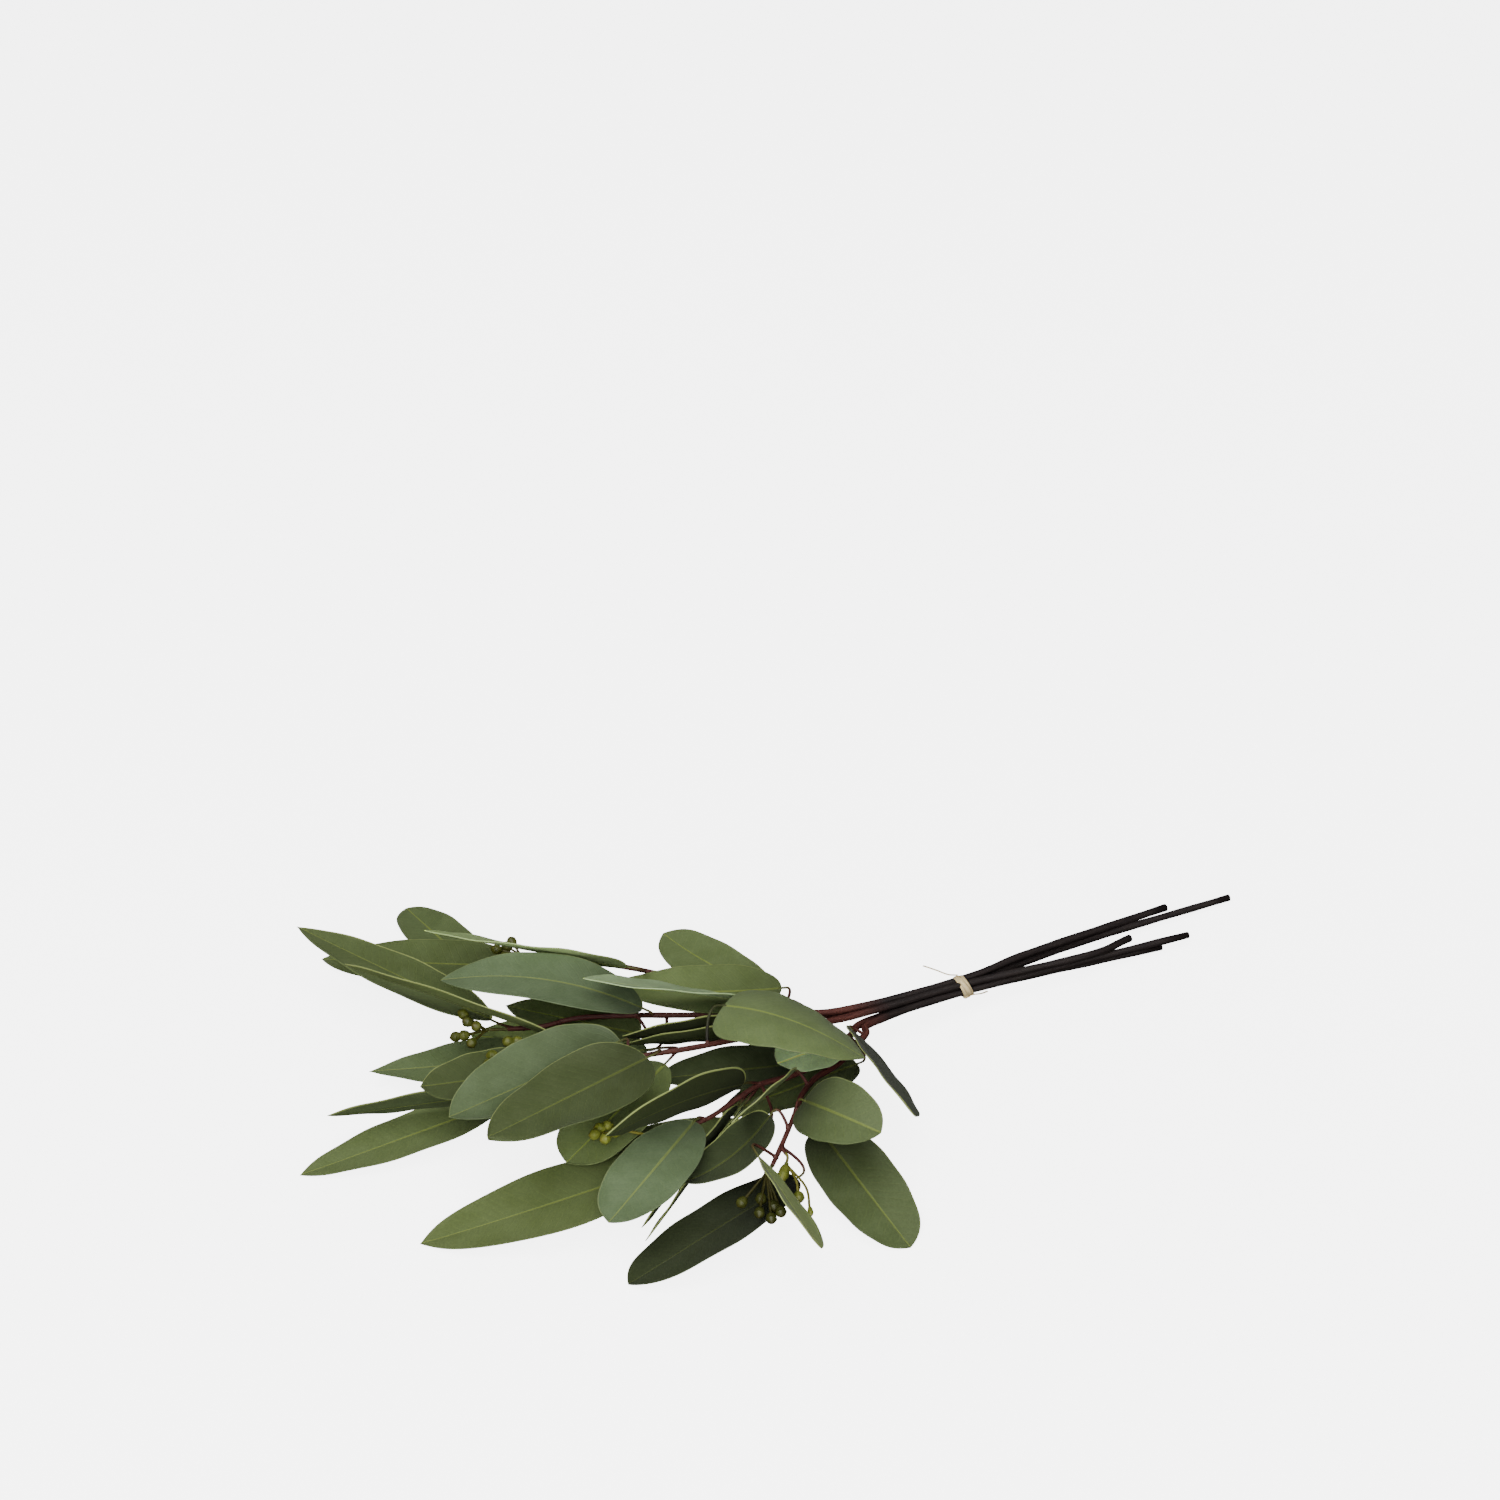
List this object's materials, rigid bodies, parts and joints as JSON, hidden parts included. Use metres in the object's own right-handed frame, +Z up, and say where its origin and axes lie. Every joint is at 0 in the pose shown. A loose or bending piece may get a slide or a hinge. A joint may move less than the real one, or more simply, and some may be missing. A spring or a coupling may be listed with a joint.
{
  "type": "eucalyptus gum nut sprig bunch",
  "caption": "Bunch of seeded eucalyptus sprigs lying down: long green leaves, olive gum nuts, dark stems cut at one end and tied with cream raffia.",
  "frame": {"origin": "centre of the box that holds the bunch, on the surface it lies on", "axes": "+X from the leaves along the bundle to the cut stem ends, +Y across the bunch, +Z up"},
  "size_m": [0.5162, 0.3682, 0.073],
  "materials": {
    "bark": "dark brown bark, reddish on the thin twigs, satin",
    "leaf_green": "dusty olive green leaf with a pale midrib and rim, matt",
    "leaf_blue_green": "paler grey-green leaf with a pale midrib and rim, matt",
    "nut_olive": "yellow olive gum nuts and stalks, satin",
    "raffia_cream": "cream raffia strip, dry and matt"
  },
  "bodies": {
    "root": {"branch_1": "bark", "branch_2": "bark", "branch_3": "bark", "branch_4": "bark", "branch_5": "bark", "leaf_1_1": "leaf_green", "leaf_1_2": "leaf_green", "leaf_1_3": "leaf_green", "leaf_1_4": "leaf_green", "leaf_1_5": "leaf_green", "leaf_2_1": "leaf_blue_green", "leaf_2_2": "leaf_green", "leaf_2_3": "leaf_blue_green", "leaf_2_4": "leaf_green", "leaf_2_5": "leaf_green", "leaf_2_6": "leaf_green", "leaf_2_7": "leaf_blue_green", "leaf_2_8": "leaf_green", "leaf_3_1": "leaf_green", "leaf_3_2": "leaf_green", "leaf_3_3": "leaf_blue_green", "leaf_3_4": "leaf_green", "leaf_3_5": "leaf_green", "leaf_3_6": "leaf_blue_green", "leaf_3_7": "leaf_green", "leaf_3_8": "leaf_green", "leaf_3_9": "leaf_green", "leaf_4_1": "leaf_green", "leaf_4_2": "leaf_green", "leaf_4_3": "leaf_green", "leaf_4_4": "leaf_green", "leaf_4_5": "leaf_green", "leaf_4_6": "leaf_green", "leaf_4_7": "leaf_blue_green", "leaf_4_8": "leaf_green", "leaf_5_1": "leaf_blue_green", "leaf_5_2": "leaf_green", "leaf_5_3": "leaf_green", "leaf_5_4": "leaf_green", "leaf_5_5": "leaf_green", "leaf_5_6": "leaf_green", "leaf_5_7": "leaf_green", "leaf_5_8": "leaf_green", "nuts_1_1": "nut_olive", "nuts_2_1": "nut_olive", "nuts_3_1": "nut_olive", "nuts_4_1": "nut_olive", "nuts_5_1": "nut_olive", "nuts_5_2": "nut_olive", "tie": "raffia_cream"}
  },
  "joints": []
}
